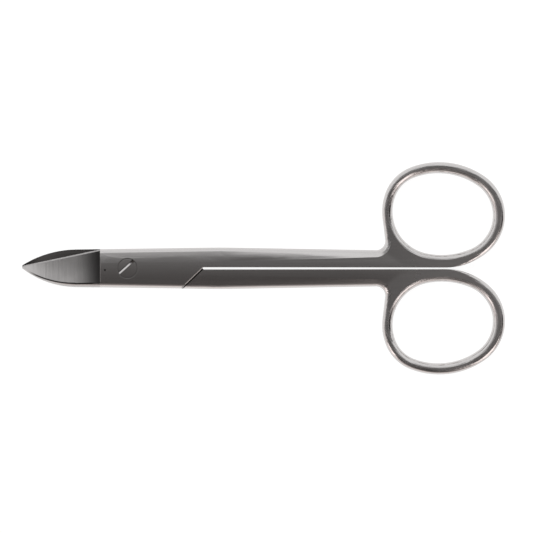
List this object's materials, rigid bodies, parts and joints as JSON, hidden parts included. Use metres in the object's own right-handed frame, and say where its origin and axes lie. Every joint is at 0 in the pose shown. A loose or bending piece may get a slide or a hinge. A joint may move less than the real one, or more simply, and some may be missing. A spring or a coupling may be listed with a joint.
{
  "type": "crown scissors",
  "caption": "Dental crown scissors: curved blades crossing in a flat screw-held lap joint, straight shanks and oval finger rings.",
  "frame": {"origin": "on the pivot screw's axis, in the plane of the flat backs that it lies on", "axes": "+X towards the finger rings, -X towards the tips, +Y towards the front half's ring, +Z out of the face with the screw's slot"},
  "size_m": [0.105, 0.0462, 0.0057],
  "materials": {
    "satin_steel": "satin",
    "screw_steel": "satin"
  },
  "bodies": {
    "rear": {"rear_half": "satin_steel", "pivot_screw": "screw_steel"},
    "front": {"front_half": "satin_steel"}
  },
  "joints": [
    {"name": "pivot", "type": "hinge", "parent": "rear", "child": "front", "pos_m": [0, 0, 0.0016], "axis": [0, 0, 1], "range_deg": [0, 110]}
  ]
}
